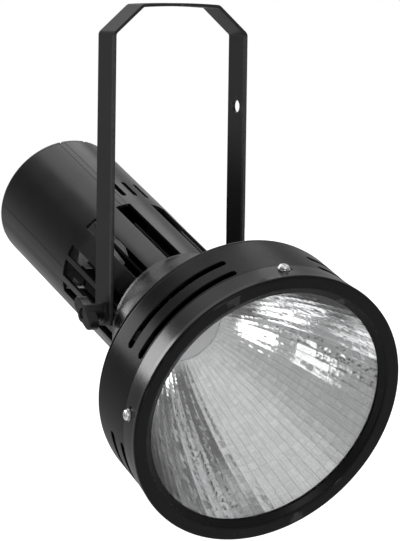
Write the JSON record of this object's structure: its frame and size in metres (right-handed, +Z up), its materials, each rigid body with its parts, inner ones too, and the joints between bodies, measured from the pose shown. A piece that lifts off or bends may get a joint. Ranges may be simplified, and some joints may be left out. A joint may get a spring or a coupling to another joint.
{
  "type": "par can light",
  "caption": "Long black LED par can with a slotted front drum, faceted reflector and finned body, tilting in a flat-bar hanging yoke held by wing knobs.",
  "frame": {"origin": "centre of the hanging hole, on the top face of the yoke", "axes": "+Z up through the hanging hole; X along the tilt axis; -Y is the side the beam leaves from, 22.9 degrees below the horizontal at rest"},
  "size_m": [0.275, 0.4807, 0.4882],
  "materials": {
    "black_steel": "satin black powder coat",
    "black_aluminium": "satin black anodised extrusion",
    "black_plastic": "moulded black nylon",
    "zinc_steel": "bright zinc plate",
    "raw_aluminium": "mill finish",
    "reflector_aluminium": "bright faceted reflector",
    "clear_glass": "clear toughened glass",
    "black_rubber": "matt silicone rubber",
    "grey_pad": "matt",
    "driver_case": "light grey housing",
    "phosphor": "yellow phosphor",
    "frosted": "frosted translucent"
  },
  "bodies": {
    "yoke": {"yoke_bracket": "black_steel"},
    "head": {"body_tube": "black_aluminium", "cable_gland_body": "black_plastic", "cable_gland_dome_nut": "black_plastic", "cable_gland_lock_nut": "black_plastic", "driver_clips": "zinc_steel", "driver_screws": "zinc_steel", "driver_tray": "zinc_steel", "drum_shell": "black_steel", "front_bezel": "black_steel", "front_glass": "clear_glass", "front_lock_washers": "zinc_steel", "front_screws": "zinc_steel", "glass_clips": "black_steel", "glass_gasket": "black_rubber", "heatsink": "black_aluminium", "led_board": "raw_aluminium", "led_diffuser": "frosted", "led_driver": "driver_case", "led_emitter": "phosphor", "led_holder": "black_plastic", "led_holder_screws": "zinc_steel", "left_pivot_nut": "zinc_steel", "left_side_rail": "raw_aluminium", "left_toothed_washer": "zinc_steel", "rear_cover": "black_aluminium", "rear_cover_screws": "zinc_steel", "rear_screw_ring": "raw_aluminium", "rear_shroud": "black_steel", "reflector": "reflector_aluminium", "reflector_brackets": "black_steel", "reflector_lug_nuts": "zinc_steel", "reflector_lug_screws": "zinc_steel", "reflector_lugs": "black_steel", "right_pivot_nut": "zinc_steel", "right_side_rail": "raw_aluminium", "right_toothed_washer": "zinc_steel", "shroud_screws": "zinc_steel", "side_rail_screws": "zinc_steel", "thermal_pad": "grey_pad"},
    "left_clamp": {"left_clamp_washer": "black_plastic"},
    "left_knob": {"left_wing_knob": "black_plastic", "left_knob_cap": "black_plastic", "left_knob_stud": "zinc_steel"},
    "right_clamp": {"right_clamp_washer": "black_plastic"},
    "right_knob": {"right_wing_knob": "black_plastic", "right_knob_cap": "black_plastic", "right_knob_stud": "zinc_steel"}
  },
  "joints": [
    {"name": "head_tilt", "type": "hinge", "parent": "yoke", "child": "head", "pos_m": [0, 0, -0.288], "axis": [1, 0, 0], "range_deg": [-40, 175]},
    {"name": "left_clamp_slide", "type": "slide", "parent": "head", "child": "left_clamp", "axis": [-1, 0, 0], "range_m": [0, 0.00187]},
    {"name": "left_knob_turn", "type": "hinge", "parent": "left_clamp", "child": "left_knob", "pos_m": [-0.08, 0, -0.288], "axis": [-1, 0, 0], "range_deg": [0, 540]},
    {"name": "right_clamp_slide", "type": "slide", "parent": "head", "child": "right_clamp", "axis": [1, 0, 0], "range_m": [0, 0.00187]},
    {"name": "right_knob_turn", "type": "hinge", "parent": "right_clamp", "child": "right_knob", "pos_m": [0.08, 0, -0.288], "axis": [1, 0, 0], "range_deg": [0, 540]}
  ],
  "couplings": [
    {"joint": "left_knob_turn", "follows": "left_clamp_slide", "rad_per_m": 5026.5},
    {"joint": "right_knob_turn", "follows": "right_clamp_slide", "rad_per_m": 5026.5}
  ]
}
